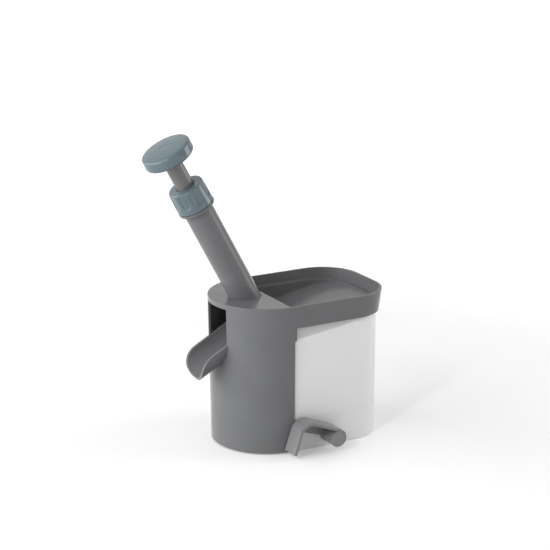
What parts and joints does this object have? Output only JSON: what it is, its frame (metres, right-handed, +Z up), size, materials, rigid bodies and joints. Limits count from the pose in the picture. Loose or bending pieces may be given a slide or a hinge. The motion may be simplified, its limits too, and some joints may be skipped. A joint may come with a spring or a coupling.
{
  "type": "cherry pitter",
  "caption": "Counter-top cherry pitter: hopper lid over a stone container, inclined guide tube with a sprung punch piston, exit chute and a lever-operated suction base.",
  "frame": {"origin": "middle of the suction cup's underside, on the counter, under the lever's shaft", "axes": "+Z up from the counter; -X towards the chute and the leaning tube; +X towards the back of the container; the suction lever is on the -Y side"},
  "size_m": [0.2188, 0.121, 0.2829],
  "materials": {
    "grey_plastic": "fine-grained satin grey plastic",
    "dark_plastic": "fine-grained dark grey plastic",
    "blue_grey_plastic": "glossy blue-grey plastic",
    "frosted_plastic": "frosted white translucent plastic",
    "white_plastic": "plain off-white plastic",
    "steel": "drawn stainless steel",
    "spring_steel": "bright spring wire",
    "rubber": "soft black rubber",
    "clear_rubber": "translucent grey suction rubber"
  },
  "bodies": {
    "base": {"stone_container": "frosted_plastic", "base_plate": "white_plastic", "base_screws": "steel"},
    "gate": {"container_gate": "frosted_plastic"},
    "lever": {"suction_lever": "grey_plastic", "cam_shaft": "steel", "shaft_clip": "steel"},
    "stem": {"cup_stem": "dark_plastic", "suction_cup": "clear_rubber"},
    "cover": {"cover_body": "grey_plastic", "guide_tube": "grey_plastic", "exit_chute": "grey_plastic", "seat_holder": "blue_grey_plastic", "seat_ring": "rubber", "spring_seat": "steel", "return_spring": "spring_steel"},
    "cap": {"screw_cap": "blue_grey_plastic"},
    "piston": {"piston_rod": "blue_grey_plastic", "piston_knob": "blue_grey_plastic", "knob_stud": "steel", "punch_rod": "steel", "punch_head": "steel", "punch_pin": "steel"}
  },
  "joints": [
    {"name": "piston_slide", "type": "slide", "parent": "cover", "child": "piston", "axis": [0.4741, 0, -0.8805], "range_m": [0, 0.0255], "stiffness_N_per_m": 350, "springref_m": -0.01, "deforming": ["return_spring"]},
    {"name": "suction_lever_turn", "type": "hinge", "parent": "base", "child": "lever", "pos_m": [0, 0, 0.0123], "axis": [0, 1, 0], "range_deg": [0, 120]},
    {"name": "stem_lift", "type": "slide", "parent": "base", "child": "stem", "axis": [0, 0, 1], "range_m": [0, 0.0026], "deforming": ["suction_cup"]},
    {"name": "cover_lift", "type": "slide", "parent": "base", "child": "cover", "axis": [0, 0, 1], "range_m": [0, 0.18]},
    {"name": "gate_slide", "type": "slide", "parent": "base", "child": "gate", "axis": [0, 0, 1], "range_m": [0, 0.09]},
    {"name": "cap_turn", "type": "hinge", "parent": "cover", "child": "cap", "pos_m": [-0.055, 0, 0.134], "axis": [-0.4741, 0, 0.8805], "range_deg": [0, 360]}
  ],
  "couplings": [
    {"joint": "stem_lift", "follows": "suction_lever_turn", "m_per_rad": 0.0012414},
    {"joint": "gate_slide", "follows": "cover_lift", "ratio": 0.5}
  ]
}
